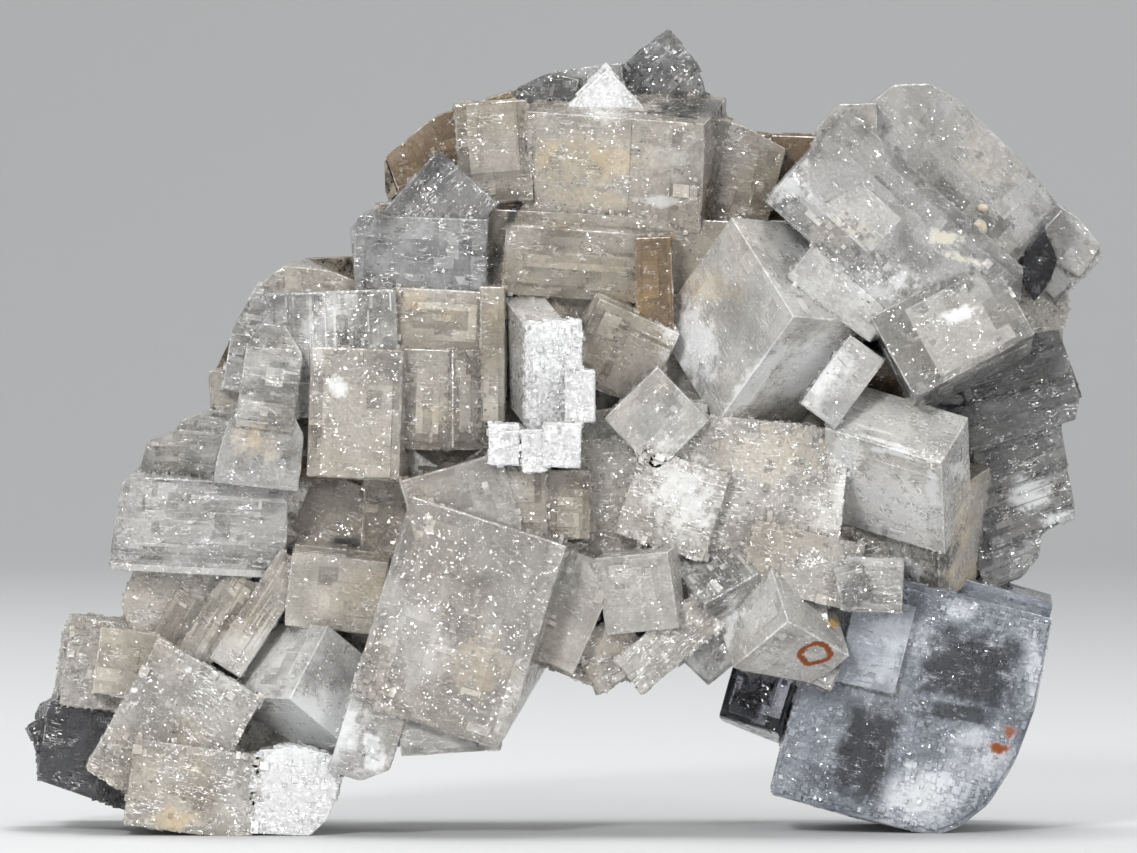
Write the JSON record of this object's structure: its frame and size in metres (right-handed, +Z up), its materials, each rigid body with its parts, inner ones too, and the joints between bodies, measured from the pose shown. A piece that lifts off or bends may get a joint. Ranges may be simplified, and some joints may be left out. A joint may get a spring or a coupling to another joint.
{
  "type": "halite crystal cluster",
  "caption": "Cluster of intergrown rock-salt cubes, milky to smoky clear, standing on two feet with a scrap of salt clay behind.",
  "frame": {"origin": "centre of the bounding box in plan, on the plane that both feet rest on", "axes": "+Z up; +X to the right foot, along the longest extent; -Y is the front with the large free crystals, +Y the back with the salt clay"},
  "size_m": [0.161, 0.058, 0.1195],
  "materials": {
    "rock_salt": "translucent milky to smoky clear rock salt, cleaved and grown faces",
    "salt_clay": "dark brown porous clay with salt, broken",
    "anhydrite": "dull cream grain"
  },
  "bodies": {
    "root": {"halite_cluster": "rock_salt", "clay_matrix": "salt_clay", "anhydrite_grain_upper": "anhydrite", "anhydrite_grain_lower": "anhydrite"}
  },
  "joints": []
}
